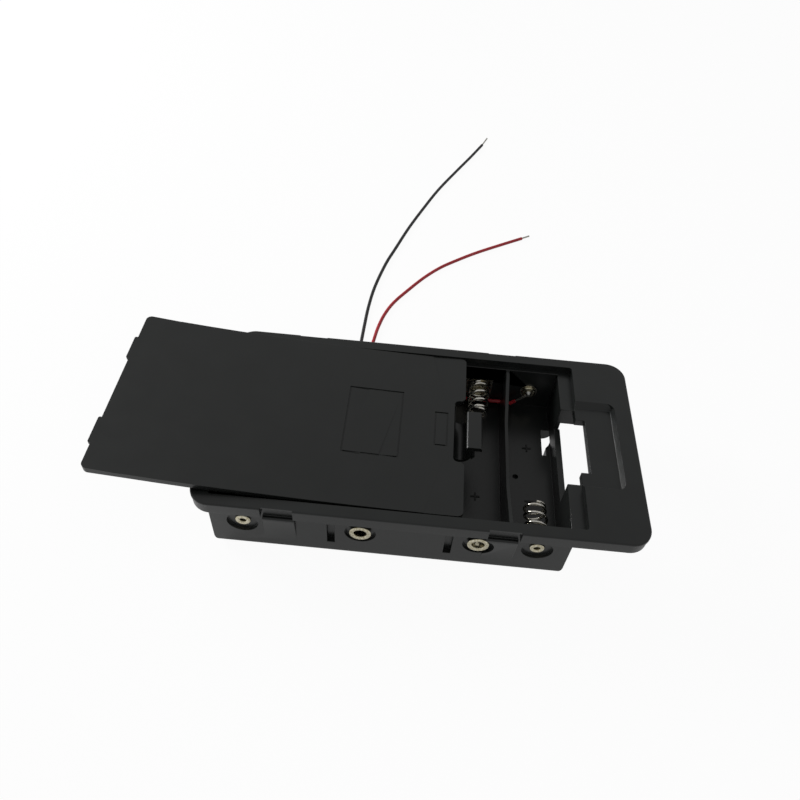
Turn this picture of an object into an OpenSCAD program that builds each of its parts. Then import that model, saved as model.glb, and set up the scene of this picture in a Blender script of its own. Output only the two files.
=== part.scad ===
// Panel-mount holder for six AA cells lying side by side, with its snap-in lid taken off
// and lying askew on the flange, and two leads.
// Millimetres, +Z up. The origin is the middle of the body's underside, +X runs along the
// row of cells, and +Y points to the long wall that the leads come out of.
// Bays are numbered 1 to 6 from -X. Contacts at -Y are "near", those at +Y are "far".

/* [Cells] */
// Diameter of one cell
cell_d = 14.3; // [13.5:0.1:17.5]
// Length of one cell, with its button
cell_len = 50.5; // [42:0.5:61]
// Play at each side of a cell
side_gap = 0.1; // [0.1:0.05:0.5]
// Play under a cell
under_gap = 0.15; // [0.1:0.05:0.5]
// Play between a cell and the closed lid
over_gap = 0.75; // [0.5:0.05:1.5]
// Room for the two contacts, spring pressed, in the length of a bay
contact_room = 3.7; // [3:0.1:6]

/* [Body] */
// Thickness of the long walls, which carry the contacts
long_wall = 2.1; // [1.7:0.1:3]
// Thickness of the two end walls
end_wall = 1.25; // [1:0.05:2.5]
// Thickness of the partitions between bays
partition_t = 1; // [0.8:0.1:2]
// Depth of the partitions' waist below the flange's top
waist_drop = 7.6; // [6:0.1:10]
// Length of the partitions' waist, where fingers reach the cells
waist_l = 23; // [16:0.5:30]
// Depth of the partitions' far ends below the flange's top
far_end_drop = 2.6; // [2.4:0.1:5]
// Depth of the partitions' near ends below the flange's top
near_end_drop = 3.9; // [2.4:0.1:5]
// Thickness of the bay floors
floor_t = 2; // [1.2:0.1:3]
// Depth of the hollow under the floors
foot_h = 2.4; // [1.4:0.1:4]
// Width of the rim around the hollow underside
foot_rim = 3.2; // [2.4:0.1:5]
// Thickness of the ribs in the hollow underside
rib_t = 1.2; // [0.8:0.1:2]
// Rounding of the lower edges at the two ends
end_round = 3.2; // [1:0.1:4]
// Rounding of the lower edges along the long walls
long_round = 1.8; // [0.6:0.1:2]

/* [Flange] */
// Overhang of the flange along each long wall
flange_side = 2.35; // [1.8:0.05:6]
// Overhang of the flange at the hinge end
flange_left = 4.4; // [3.8:0.1:8]
// Overhang of the flange at the latch end
flange_right = 18.7; // [17:0.1:26]
// Height of the flange
flange_h = 4.2; // [3.6:0.1:5]
// Corner radius of the flange
flange_r = 5.5; // [3:0.5:8]
// Height of the lip at the top of the flange
lip_t = 1.2; // [0.8:0.1:1.6]
// Set-back of the skirt under the lip
lip_step = 0.2; // [0.1:0.05:1]
// Rounding of the lip's top edge
lip_round = 0.5; // [0.2:0.1:0.8]
// Thickness of the flange's skirt at the latch end
skirt_t = 1.5; // [1:0.1:2.5]
// Thickness of the flange's top plate at the latch end
plate_t = 1.7; // [1.2:0.1:2.2]

/* [Lid and latch] */
// Thickness of the lid
lid_t = 1.85; // [1.4:0.05:2]
// Depth of the lid's recess below the flange's top
recess_h = 2.3; // [2:0.1:3]
// Width of the ledge along each long wall that the lid lies on
side_ledge = 1.15; // [0.8:0.05:1.5]
// Width of the ledge at the hinge end
left_ledge = 0.75; // [0.5:0.05:1.5]
// Width of the ledge at the latch end
right_ledge = 3.9; // [3:0.1:5]
// Play of the lid in its recess, along the row
play_x = 0.35; // [0.2:0.05:1]
// Play of the lid in its recess, across the row
play_y = 0.75; // [0.3:0.05:1.2]
// Place of the loose lid's latch edge past the partition between bays 4 and 5
lid_rest_x = 2.55; // [2.3:0.05:8]
// Sideways place of the loose lid
lid_rest_y = 0.2; // [-0.3:0.05:0.3]
// Height of the two pads under the lid that touch the flange
pad_h = 0.3; // [0.2:0.05:0.6]
// Width of a hinge tab
tab_w = 8.6; // [5:0.1:12]
// Reach of a hinge tab past the lid's edge
tab_reach = 1.3; // [0.8:0.1:1.6]
// Thickness of a hinge tab
tab_t = 0.9; // [0.6:0.1:1.1]
// Distance between the two hinge tabs
tab_pitch = 30.4; // [20:0.2:40]
// Depth of the notch in the lid around the latch
notch_l = 3; // [2.8:0.1:4]
// Width of that notch
notch_w = 21.6; // [20:0.1:24]
// Width of the latch and its thumb tab
latch_w = 13; // [8:0.1:16]
// Thickness of the latch's legs
latch_t = 1.1; // [0.8:0.1:1.4]
// Depth of the latch's bend below the lid's underside
latch_drop = 4.9; // [3.5:0.1:5.2]
// Reach of the thumb tab over the latch's outer leg
thumb_l = 4.4; // [3.5:0.1:6]
// Height of the thumb tab
thumb_h = 1.5; // [1.1:0.1:2]
// Width of the latch window in the latch-end ledge and wall
window_w = 26.1; // [23:0.1:30]
// Depth of the window in the latch-end wall below the flange's top
window_drop = 11.2; // [7:0.1:13]
// Depth of the window's side ribs below the flange's top
rib_drop = 8.4; // [6:0.1:12]
// Reach of the window's step into the flange
step_l = 2.65; // [1:0.05:4]
// Width of that step
step_w = 18.5; // [14:0.1:22]
// Length of the finger scoop
scoop_l = 11.2; // [8:0.1:13]
// Width of the finger scoop
scoop_w = 30; // [24:0.5:36]
// Depth of the finger scoop
scoop_h = 1.8; // [1:0.1:2.2]

/* [Panel hooks] */
// Width of a hook
hook_w = 8.3; // [5:0.1:12]
// How far a hook stands off the wall
hook_out = 1.1; // [0.8:0.1:2]
// Height of a hook's ramp
hook_h = 10.9; // [6:0.1:12]
// Gap between the flange and a hook's catch
panel_gap = 2; // [1:0.1:3]
// Distance of each hook from the middle
hook_x = 28.9; // [22:0.1:34]

/* [Contacts] */
// How far the contacts sit below the cells' middle
contact_drop = 0.5; // [0:0.1:0.8]
// Thickness of the contact strips
strip_t = 0.3; // [0.2:0.05:0.5]
// Height of the contact strips
strip_h = 6.6; // [5.5:0.1:8]
// How far a strip reaches past the middle of a bay
strip_reach = 4; // [3.6:0.1:5.5]
// Diameter of the spring wire
wire_d = 0.8; // [0.6:0.05:1]
// Radius of a spring's base turn, to the middle of the wire
base_r = 3.4; // [3.2:0.1:4]
// Radius of a spring's tip turn, to the middle of the wire
tip_r = 2.9; // [2:0.1:3.4]
// Free length of a spring
spring_l = 11.5; // [8:0.5:13]
// Open turns of a spring
open_turns = 2.5; // [2:0.25:4]
// Depth of the recess around an eyelet's outer end
pocket_h = 0.9; // [0.6:0.1:1.2]
// Diameter of that recess
pocket_d = 8.2; // [7:0.1:9]
// Height of a small eyelet's outer head
small_head = 0.3; // [0.3:0.05:0.8]
// Height of a large eyelet's outer head
large_head = 1; // [0.3:0.05:1.4]
// Play of an eyelet in its hole
eyelet_fit = 0.05; // [0.02:0.01:0.2]

/* [Leads] */
// Diameter of a lead over its insulation
lead_d = 1.2; // [1:0.05:1.6]
// Diameter of a lead's tinned strands
strand_d = 0.7; // [0.4:0.05:0.9]
// Width of the slot that the leads come out of
slot_w = 2; // [1.7:0.1:3]

/* [Hidden] */
$fn = 48;

EPS = 0.02;
CELLS = 6;
NEAR = -1;
FAR = 1;

ABS_BLACK = "#1b1d1c";
NICKEL = "#b9b7ae";
BRASS_PLATED = "#b5a878";
TIN = "#c4c2bb";
RED_PVC = "#c22a30";
BLACK_PVC = "#202020";

// Bays
bay_w = cell_d + 2 * side_gap;
pitch = bay_w + partition_t;
bay_l = cell_len + contact_room;
bay_y = bay_l / 2;
row_x = (CELLS * pitch - partition_t) / 2;

// Heights
floor_z = foot_h + floor_t;
axis_z = floor_z + under_gap + cell_d / 2;
contact_z = axis_z - contact_drop;
ledge_z = axis_z + cell_d / 2 + over_gap;
top_z = ledge_z + recess_h;
flange_z = top_z - flange_h;

// Outlines
body_x = row_x + end_wall;
body_y = bay_y + long_wall;
flange_x0 = -body_x - flange_left;
flange_x1 = body_x + flange_right;
flange_y = body_y + flange_side;
recess_x0 = -row_x - left_ledge;
recess_x1 = row_x + right_ledge;
recess_y = bay_y + side_ledge;

// Lid
lid_l = recess_x1 - recess_x0 - play_x;
lid_w = 2 * recess_y - play_y;
lid_x1 = pitch + lid_rest_x;
lid_rim_run = lid_x1 - recess_x0;
lid_rim_rise = recess_h + pad_h;
bow_r = (lid_rim_run * lid_rim_run + lid_rim_rise * lid_rim_rise) / (2 * lid_rim_rise);
lid_angle = lid_l / bow_r * 180 / PI;
lid_run = bow_r * sin(lid_angle);
latch_bend_r = 3.2;
latch_mid = -notch_l - latch_t + latch_bend_r;
latch_y = 0.6;
latch_top = 0.6;
plate_frame = [-33.4, -11.5, -17.8, 12.1];
small_frame = [-8.6, -6, -4.8, 6];
groove_w = 0.45;
groove_h = 0.25;

// Latch window and floor
window_rib_t = 1.2;
sill_bead = [0.5, 2.4];
scoop_slope = [0.8, 1.3];
notch_skin = 0.5;
notch_cut = 0.5;
vent = [2.5, 7.6, 12.8, 17.4];
vent_tail = 1.3;

// Contacts
SMALL_TUBE = 1.25;
LARGE_TUBE = 2.1;
EYELET_WALL = 0.45;
EYELET_COLLAR = 0.25;
ROLL_R = 0.3;
slot_z = [axis_z - 6.4, axis_z + 2.1];
slot_bays = [2, 4];
boss_r = base_r - wire_d / 2 - 0.12;
strip_face = long_wall + strip_t;
washer_t = strip_t;
plus_blob = [bay_x(6), body_y - strip_face - 1, contact_z];
plus_wire_start = plus_blob + [-3.55, -0.3, -3.4];
minus_pad = [bay_x(1) + 5.3, bay_y - strip_t, contact_z - 1.5];
minus_blob = minus_pad - [0, 0.5, 0];
minus_wire_start = minus_blob + [0.8, -0.1, -1.7];

// Leads
black_z = 7.2;
red_z = 5.95;
wire_y = bay_y - strip_t - lead_d / 2 - 0.05;
exit_x = bay_x(2) + pitch / 2;
BLACK_ROUTE = [[-15.5, 34, 7.2], [-15.8, 38.5, 6.2], [-16.3, 43.5, 3.4], [-16.5, 48.5, 1.2], [-16.4, 53, 0.6],
    [-16.2, 61, 0.6], [-15.8, 71, 0.6], [-14.6, 82.5, 0.6], [-11.8, 96.5, 0.6], [-8.9, 106.5, 0.6],
    [-4.4, 121.5, 0.6], [0.7, 136, 0.6], [6.6, 151.5, 0.6], [14.2, 168, 0.6], [20.4, 181, 0.6],
    [25.6, 192.5, 0.6]];
RED_ROUTE = [[-15.4, 34, 5.95], [-14.9, 38.5, 4.8], [-14.1, 43.5, 2.4], [-13.2, 48.5, 0.9], [-12.3, 53, 0.6],
    [-11.4, 60, 0.6], [-9.7, 67.5, 0.6], [-6.9, 74.5, 0.6], [-2.3, 82, 0.6], [3.5, 90.5, 0.6],
    [9.5, 97.5, 0.6], [15.8, 103, 0.6], [22.8, 108.5, 0.6], [30.5, 113.8, 0.6], [41.9, 121.3, 0.6]];
BLACK_TIP = [28, 199.4, 0.4];
RED_TIP = [45.1, 123.7, 0.4];

function bay_x(n) = (n - (CELLS + 1) / 2) * pitch;
function wall_side(n) = n % 2 == 0 ? NEAR : FAR;

// --- Plain helpers ---

// A box from one corner to the opposite one.
module block(a, b) {
    translate(a) cube(b - a);
}

// A plate with rounded corners, from one corner to the opposite one.
module rounded_block(a, b, r) {
    size = b - a;
    translate(a) linear_extrude(size[2]) rounded_outline(size[0], size[1], r);
}

module rounded_outline(w, d, r) {
    translate([r, 0]) square([w - 2 * r, d]);
    translate([0, r]) square([w, d - 2 * r]);
    for (x = [r, w - r], y = [r, d - r]) translate([x, y]) circle(r);
}

// Stands a profile drawn in y and z along X, from x0 over a length.
module along_x(x0, length) {
    translate([x0, 0, 0]) rotate([90, 0, 90]) linear_extrude(length) children();
}

// Stands a profile drawn in x and z along Y, from y0 over a length.
module along_y(y0, length) {
    translate([0, y0 + length, 0]) rotate([90, 0, 0]) linear_extrude(length) children();
}

// Puts a solid drawn along +Z onto a wall, its +Z pointing into the bay.
module on_wall(x, z, side) {
    translate([x, side * body_y, z]) rotate([side * 90, 0, 0]) children();
}

// A closed skin over rings of equal point counts.
module skin(rings) {
    n = len(rings[0]);
    last = len(rings) - 1;
    polyhedron(
        points = [for (ring = rings) for (p = ring) p],
        faces = concat(
            [[for (k = [0:n - 1]) k]],
            [for (i = [0:last - 1]) for (k = [0:n - 1])
                [i * n + (k + 1) % n, i * n + k, (i + 1) * n + k, (i + 1) * n + (k + 1) % n]],
            [[for (k = [n - 1:-1:0]) last * n + k]]),
        convexity = 10);
}

function unit(v) = v / norm(v);

// One ring of a tube around point p, square to the direction t, with "up" as its reference.
function ring(p, t, up, r, sides) =
    let (a = unit(cross(t, up)), b = unit(cross(a, t)))
    [for (k = [0:sides - 1]) p + r * (cos(360 * k / sides) * a + sin(360 * k / sides) * b)];

function curve_point(p0, p1, p2, p3, t) =
    0.5 * (2 * p1 + (p2 - p0) * t + (2 * p0 - 5 * p1 + 4 * p2 - p3) * t * t
        + (3 * p1 - p0 - 3 * p2 + p3) * t * t * t);

// A smooth curve through route points, n steps from one to the next.
function smooth(route, n) =
    let (last = len(route) - 1)
    concat([for (i = [0:last - 1]) for (j = [0:n - 1])
        curve_point(route[max(i - 1, 0)], route[i], route[i + 1], route[min(i + 2, last)], j / n)],
        [route[last]]);

// A tube of 8 sides along a path, with the directions in which it starts and ends.
module tube(path, d, first, end) {
    last = len(path) - 1;
    skin([for (i = [0:last])
        let (t = i == 0 ? first : i == last ? end : path[i + 1] - path[i - 1])
        ring(path[i], t, [0, 0, 1], d / 2, 8)]);
}

// A round bar from a to b.
module bar(a, b, d) {
    v = b - a;
    translate(a) rotate([0, acos(v[2] / norm(v)), atan2(v[1], v[0])]) cylinder(d = d, h = norm(v));
}

// --- Housing ---

// Profile of the flange's edge: skirt, step, lip and rounded top, measured outwards from the corner's centre.
module flange_profile() {
    polygon([[0, 0], [flange_r - lip_step, 0], [flange_r - lip_step, flange_h - lip_t],
        [flange_r, flange_h - lip_t], [flange_r, flange_h - lip_round],
        [flange_r - lip_round, flange_h - lip_round], [flange_r - lip_round, flange_h], [0, flange_h]]);
    translate([flange_r - lip_round, flange_h - lip_round]) intersection() {
        circle(lip_round);
        square(lip_round);
    }
}

// The flange as a plate with its edge profile swept round the rounded rectangle.
module flange() {
    x0 = flange_x0 + flange_r;
    x1 = flange_x1 - flange_r;
    y1 = flange_y - flange_r;
    translate([0, 0, flange_z]) {
        block([x0, -y1, 0], [x1, y1, flange_h]);
        translate([x1, y1, 0]) rotate([90, 0, 0]) linear_extrude(2 * y1) flange_profile();
        translate([x0, -y1, 0]) rotate([90, 0, 180]) linear_extrude(2 * y1) flange_profile();
        translate([x0, y1, 0]) rotate([90, 0, 90]) linear_extrude(x1 - x0) flange_profile();
        translate([x1, -y1, 0]) rotate([90, 0, 270]) linear_extrude(x1 - x0) flange_profile();
        translate([x1, y1, 0]) rotate_extrude(angle = 90) flange_profile();
        translate([x0, y1, 0]) rotate([0, 0, 90]) rotate_extrude(angle = 90) flange_profile();
        translate([x0, -y1, 0]) rotate([0, 0, 180]) rotate_extrude(angle = 90) flange_profile();
        translate([x1, -y1, 0]) rotate([0, 0, 270]) rotate_extrude(angle = 90) flange_profile();
    }
}

// A rectangle whose two lower corners are rounded.
module tray_profile(half, h, r) {
    translate([-half, r]) square([2 * half, h - r]);
    translate([-half + r, 0]) square([2 * (half - r), r]);
    for (x = [-half + r, half - r]) translate([x, r]) circle(r);
}

module body_block() {
    intersection() {
        along_y(-body_y, 2 * body_y) tray_profile(body_x, flange_z + EPS, end_round);
        along_x(-body_x, 2 * body_x) tray_profile(body_y, flange_z + EPS, long_round);
    }
}

// The hollow underside, with ribs under the partitions and along the middle.
module foot_hollows() {
    x1 = body_x - foot_rim;
    y1 = body_y - foot_rim;
    for (n = [1:CELLS], side = [NEAR, FAR]) {
        a = max(bay_x(n) - (pitch - rib_t) / 2, -x1);
        b = min(bay_x(n) + (pitch - rib_t) / 2, x1);
        block([a, side > 0 ? rib_t / 2 : -y1, -1], [b, side > 0 ? y1 : -rib_t / 2, foot_h]);
    }
}

// The space over the partitions: flat over the waist, rising to both ends.
module waist_space() {
    along_x(-row_x, 2 * row_x) polygon([
        [-bay_y, top_z + 1], [-bay_y, top_z - near_end_drop],
        [-waist_l / 2 - 0.75, top_z - waist_drop], [waist_l / 2 - 0.75, top_z - waist_drop],
        [bay_y - 2.3, top_z - far_end_drop], [bay_y, top_z - far_end_drop], [bay_y, top_z + 1]]);
}

module bays() {
    for (n = [1:CELLS])
        block([bay_x(n) - bay_w / 2, -bay_y, floor_z], [bay_x(n) + bay_w / 2, bay_y, top_z + 1]);
}

module lid_recess() {
    rounded_block([recess_x0, -recess_y, ledge_z], [recess_x1, recess_y, top_z + 1], 0.8);
    // Pockets under the flange for the lid's hinge tabs
    for (s = [-1, 1]) {
        y = s * tab_pitch / 2;
        block([recess_x0 - tab_reach - 0.6, y - tab_w / 2 - 0.45, ledge_z - 0.1],
            [recess_x0 + 1, y + tab_w / 2 + 0.45, ledge_z + tab_t + 0.25]);
    }
}

module latch_window() {
    block([row_x - EPS, -window_w / 2, top_z - window_drop], [recess_x1, window_w / 2, top_z + 1]);
    block([recess_x1 - EPS, -step_w / 2, flange_z - 1], [recess_x1 + step_l, step_w / 2, top_z + 1]);
    block([body_x, -window_w / 2, flange_z - 1], [recess_x1, window_w / 2, top_z]);
}

// The window's rib at +Y and the bead outside its sill. The rib at -Y is its mirror.
module window_ribs() {
    z0 = top_z - window_drop;
    for (s = [0, 1]) mirror([0, s, 0])
        block([body_x - EPS, window_w / 2, top_z - rib_drop],
            [recess_x1 + step_l + window_rib_t, window_w / 2 + window_rib_t, flange_z + EPS]);
    block([body_x - EPS, -window_w / 2 - EPS, z0 - sill_bead[1]],
        [body_x + sill_bead[0], window_w / 2 + EPS, z0]);
}

// A shallow pocket with sloping sides, open to the lid's recess.
module finger_scoop() {
    x0 = recess_x1 - 3;
    x1 = recess_x1 + scoop_l;
    y1 = scoop_w / 2;
    z0 = top_z - scoop_h;
    intersection() {
        rounded_block([x0, -y1, z0], [x1, y1, top_z + 1], 2.4);
        along_x(x0 - 1, x1 - x0 + 2) polygon([[-y1 + scoop_slope[1], z0], [y1 - scoop_slope[1], z0],
            [y1, top_z], [y1, top_z + 2], [-y1, top_z + 2], [-y1, top_z]]);
        along_y(-y1 - 1, 2 * y1 + 2) polygon([[x0 - 1, z0 - 1], [x1 - scoop_slope[0], z0 - 1],
            [x1 - scoop_slope[0], z0], [x1, top_z], [x1, top_z + 2], [x0 - 1, top_z + 2]]);
    }
}

// Two hollows under the wide end of the flange, beside the scoop.
module flange_hollows() {
    x1 = flange_x1 - lip_step - skirt_t;
    y1 = flange_y - lip_step - skirt_t;
    y0 = scoop_w / 2 + skirt_t;
    for (s = [0, 1]) mirror([0, s, 0])
        rounded_block([recess_x1 + 1.2, y0, flange_z - 1], [x1, y1, top_z - plate_t], 1.5);
}

// A hook's ramp on the long wall at -Y.
module hook(x) {
    z1 = flange_z - panel_gap;
    along_x(x - hook_w / 2, hook_w) polygon([[-body_y + EPS, z1 - hook_h], [-body_y, z1 - hook_h],
        [-body_y - hook_out, z1 - 1.2], [-body_y - hook_out, z1 - 0.4],
        [-body_y - hook_out + 0.4, z1], [-body_y + EPS, z1]]);
}

// The gap in the flange's edge over a hook, under a thin skin that is set back a little.
module hook_notch(x) {
    block([x - hook_w / 2, -flange_y - 1, flange_z - 1], [x + hook_w / 2, -body_y, top_z - notch_skin]);
    block([x - hook_w / 2, -flange_y - 1, flange_z - 1],
        [x + hook_w / 2, -flange_y + notch_cut, top_z + 1]);
}

// Through hole and outer recess for an eyelet.
module eyelet_hole(n, side, r) {
    on_wall(bay_x(n), contact_z, side) {
        translate([0, 0, -hook_out - 1]) cylinder(d = pocket_d, h = hook_out + 1 + pocket_h);
        translate([0, 0, -1]) cylinder(r = r + eyelet_fit, h = long_wall + 2);
    }
}

// Upright slots in the long walls behind the partitions that no strip crosses.
module wall_slots() {
    for (n = slot_bays) {
        x = bay_x(n) + pitch / 2;
        block([x - slot_w / 2, -body_y - 1, slot_z[0]], [x + slot_w / 2, -body_y + 1.5, slot_z[1]]);
    }
    // The leads come out of this one, so it goes right through
    block([exit_x - slot_w / 2, bay_y - 2.4, slot_z[0] - 0.3], [exit_x + slot_w / 2, body_y + 1, slot_z[1]]);
}

// Gaps in the partitions where the strips and the wires pass along the walls.
module partition_gaps() {
    strip_gap = strip_t + 0.15;
    for (n = [1, 3, 5]) {
        x = bay_x(n) + pitch / 2;
        block([x - partition_t, -bay_y - EPS, contact_z - strip_h / 2 - 0.2],
            [x + partition_t, -bay_y + strip_gap, contact_z + strip_h / 2 + 0.2]);
    }
    for (n = [2, 4]) {
        x = bay_x(n) + pitch / 2;
        block([x - partition_t, bay_y - strip_gap, contact_z - strip_h / 2 - 0.2],
            [x + partition_t, bay_y + EPS, contact_z + strip_h / 2 + 0.2]);
    }
    for (n = [1:5]) {
        x = bay_x(n) + pitch / 2;
        block([x - partition_t, bay_y - lead_d - 1.2, floor_z + 0.5],
            [x + partition_t, bay_y + EPS, n == 5 ? axis_z - 1.6 : axis_z - 3.4]);
    }
}

// Openings in the floor of bay 6: one beside the end wall, going out under it, and a small blind hole.
module floor_openings() {
    translate([row_x, 0, -1]) linear_extrude(floor_z + 1 + EPS)
        polygon([[-vent[0], vent[1]], [-vent_tail, vent[1]], [-vent_tail, vent[2] - 2.2],
            [-0.4, vent[2] - 1.1], [0, vent[2]], [0, vent[3]], [-vent[0], vent[3]]]);
    block([row_x - EPS, vent[2], -1], [body_x + 1, vent[3], floor_z]);
    translate([bay_x(6) - 3.7, -1.3, floor_z - 1.2]) cylinder(d = 1.7, h = 3);
}

module housing() {
    color(ABS_BLACK) difference() {
        union() {
            flange();
            body_block();
            window_ribs();
            for (s = [0, 1]) mirror([0, s, 0]) for (x = [-hook_x, hook_x]) hook(x);
        }
        foot_hollows();
        bays();
        waist_space();
        lid_recess();
        latch_window();
        finger_scoop();
        flange_hollows();
        for (s = [0, 1]) mirror([0, s, 0]) for (x = [-hook_x, hook_x]) hook_notch(x);
        for (n = [1, 6]) eyelet_hole(n, NEAR, SMALL_TUBE);
        for (n = [3, 5]) eyelet_hole(n, NEAR, LARGE_TUBE);
        for (n = [1, 3, 5, 6]) eyelet_hole(n, FAR, SMALL_TUBE);
        for (n = [2, 4]) eyelet_hole(n, FAR, LARGE_TUBE);
        wall_slots();
        partition_gaps();
        floor_openings();
    }
}

// --- Lid ---

// A length of bowed plate between two heights over the lid's underside, bent about an axis along Y.
module bowed_plate(z0, z1, angle) {
    width = lid_w + 2;
    translate([lid_x1, lid_rest_y + width / 2, ledge_z + bow_r]) rotate([90, 0, 0])
        rotate([0, 0, -90 - angle]) rotate_extrude(angle = angle, $fn = 720)
            translate([bow_r - z1, 0]) square([z1 - z0, width]);
}

// A flat outline, drawn from the lid's latch edge at x = 0, as a tall block around the lid.
module lid_column() {
    translate([lid_x1, lid_rest_y, ledge_z - 8]) linear_extrude(40) children();
}

module lid_outline() {
    difference() {
        translate([-lid_run, -lid_w / 2]) rounded_outline(lid_run, lid_w, 1.6);
        y1 = notch_w / 2;
        polygon([[1, -y1 - 0.9], [0, -y1 - 0.9], [-0.9, -y1], [-notch_l + 1.2, -y1],
            [-notch_l + 0.35, -y1 + 0.35], [-notch_l, -y1 + 1.2], [-notch_l, y1 - 1.2],
            [-notch_l + 0.35, y1 - 0.35], [-notch_l + 1.2, y1], [-0.9, y1], [0, y1 + 0.9], [1, y1 + 0.9]]);
    }
}

// A rectangular line groove in the lid's top, from one corner of a frame to the other.
module frame_groove(frame) {
    size = [frame[2] - frame[0], frame[3] - frame[1]];
    intersection() {
        bowed_plate(lid_t - groove_h, lid_t + 1, lid_angle);
        lid_column() translate([frame[0], frame[1]]) difference() {
            square(size);
            translate([groove_w, groove_w]) square(size - 2 * [groove_w, groove_w]);
        }
    }
}

// The latch: a bend hanging from the notch, with the catch and the thumb tab on its outer leg.
module latch_profile() {
    inner = latch_bend_r - latch_t;
    difference() {
        union() {
            translate([latch_mid, -latch_drop + latch_bend_r]) circle(latch_bend_r);
            translate([latch_mid - latch_bend_r, -latch_drop + latch_bend_r])
                square([latch_t, latch_drop - latch_bend_r + 0.4]);
            translate([latch_mid + inner, -latch_drop + latch_bend_r])
                square([latch_t, latch_top + latch_drop - latch_bend_r]);
        }
        translate([latch_mid, -latch_drop + latch_bend_r]) circle(inner);
        translate([latch_mid - inner, -latch_drop + latch_bend_r]) square([2 * inner, 20]);
    }
    // Catch
    translate([latch_mid + latch_bend_r, 0])
        polygon([[-EPS, -3.3], [0.9, -1.9], [0.9, -1.6], [-EPS, -1.45]]);
    // Thumb tab
    translate([latch_mid + latch_bend_r - latch_t - 0.7, latch_top - EPS])
        polygon([[0, 0], [thumb_l, 0], [thumb_l, thumb_h - 0.5], [thumb_l - 0.5, thumb_h],
            [0.4, thumb_h], [0, thumb_h - 0.4]]);
}

module lid() {
    color(ABS_BLACK) {
        difference() {
            intersection() {
                bowed_plate(0, lid_t, lid_angle + 0.2);
                lid_column() lid_outline();
            }
            frame_groove(plate_frame);
            frame_groove(small_frame);
        }
        // Hinge tabs
        intersection() {
            bowed_plate(0, tab_t, lid_angle + 0.5);
            lid_column() for (s = [-1, 1])
                translate([-lid_run - tab_reach, s * tab_pitch / 2 - tab_w / 2])
                    rounded_outline(tab_reach + 1.5, tab_w, 0.5);
        }
        // Pads that lie on the flange
        intersection() {
            bowed_plate(-pad_h, EPS, lid_angle);
            lid_column() for (s = [-1, 1])
                translate([-lid_rim_run - 6, s * lid_w / 4 - 1]) square([12, 2]);
        }
        // Latch
        translate([lid_x1, latch_y + lid_rest_y + latch_w / 2, ledge_z]) rotate([90, 0, 0])
            linear_extrude(latch_w) latch_profile();
    }
}

// --- Contacts ---

// Points along a spring's wire: a closed base turn, open turns, and a closing turn at the tip.
function spring_height(turn) =
    let (tip_turn = 1 + open_turns, rise = wire_d + 0.06)
    turn < 1 ? wire_d / 2 + rise * turn
    : turn < tip_turn ? wire_d / 2 + rise + (spring_l - 2 * rise - wire_d) * (turn - 1) / open_turns
    : spring_l - wire_d / 2 - rise + rise * (turn - tip_turn);

function spring_rings(lean) =
    let (turns = open_turns + 2, steps = 14, sides = 6)
    [for (i = [0:turns * steps])
        let (turn = i / steps, a = 360 * turn, h = spring_height(turn),
            r = base_r + (tip_r - base_r) * h / spring_l,
            mid = [lean * h / spring_l, 0, h], out = [cos(a), sin(a), 0])
        [for (k = [0:sides - 1]) mid + out * (r + wire_d / 2 * cos(360 * k / sides))
            + [0, 0, wire_d / 2 * sin(360 * k / sides)]]];

module spring(n) {
    side = wall_side(n);
    lean = n == 5 ? -0.9 : 0;
    color(NICKEL) on_wall(bay_x(n), contact_z, side) translate([0, 0, strip_face])
        skin(spring_rings(lean));
}

// A rolled eyelet through a wall and a strip, drawn from its outer end inwards.
module eyelet(n, side, tube_r, rim, head, inner_r, inner_h) {
    seat = pocket_h;
    top = seat - head;
    color(BRASS_PLATED) on_wall(bay_x(n), contact_z, side) difference() {
        union() {
            translate([0, 0, top]) cylinder(r = tube_r, h = strip_face - top + inner_h);
            translate([0, 0, top]) cylinder(r = tube_r + EYELET_COLLAR, h = head);
            translate([0, 0, top]) cylinder(r = tube_r + rim - ROLL_R, h = ROLL_R);
            translate([0, 0, top]) rotate_extrude() translate([tube_r + rim - ROLL_R, 0]) circle(ROLL_R);
            translate([0, 0, strip_face]) cylinder(r = inner_r, h = inner_h);
        }
        translate([0, 0, -2]) cylinder(r = tube_r - EYELET_WALL, h = 10);
        // The rolled rim is flat underneath
        difference() {
            translate([0, 0, top + ROLL_R - EPS]) cylinder(r = tube_r + rim + 1, h = 0.3);
            translate([0, 0, seat - 2]) cylinder(r = tube_r + EYELET_COLLAR, h = 4);
        }
    }
}

module spring_eyelet(n, side) {
    eyelet(n, side, SMALL_TUBE, 0.75, small_head, boss_r, wire_d);
}

module plus_eyelet(n, side, tube_r) {
    eyelet(n, side, tube_r, 0.85, tube_r > SMALL_TUBE ? large_head : small_head, tube_r + 0.9, 0.7);
}

// A contact strip from bay n to the next, with holes for its eyelets and bosses for bare springs.
module strip(n, side, tubes) {
    y = [bay_y - strip_t, bay_y];
    color(NICKEL) {
        difference() {
            block([bay_x(n) - strip_reach, side > 0 ? y[0] : -y[1], contact_z - strip_h / 2],
                [bay_x(n + 1) + strip_reach, side > 0 ? y[1] : -y[0], contact_z + strip_h / 2]);
            for (i = [0, 1]) if (tubes[i] > 0)
                on_wall(bay_x(n + i), contact_z, side) cylinder(r = tubes[i] + eyelet_fit, h = 9);
        }
        for (i = [0, 1]) if (tubes[i] == 0)
            on_wall(bay_x(n + i), contact_z, side) translate([0, 0, strip_face - EPS])
                difference() {
                    cylinder(r = boss_r, h = wire_d);
                    translate([0, 0, strip_t]) cylinder(r = boss_r - 0.9, h = wire_d);
                }
    }
}

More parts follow.
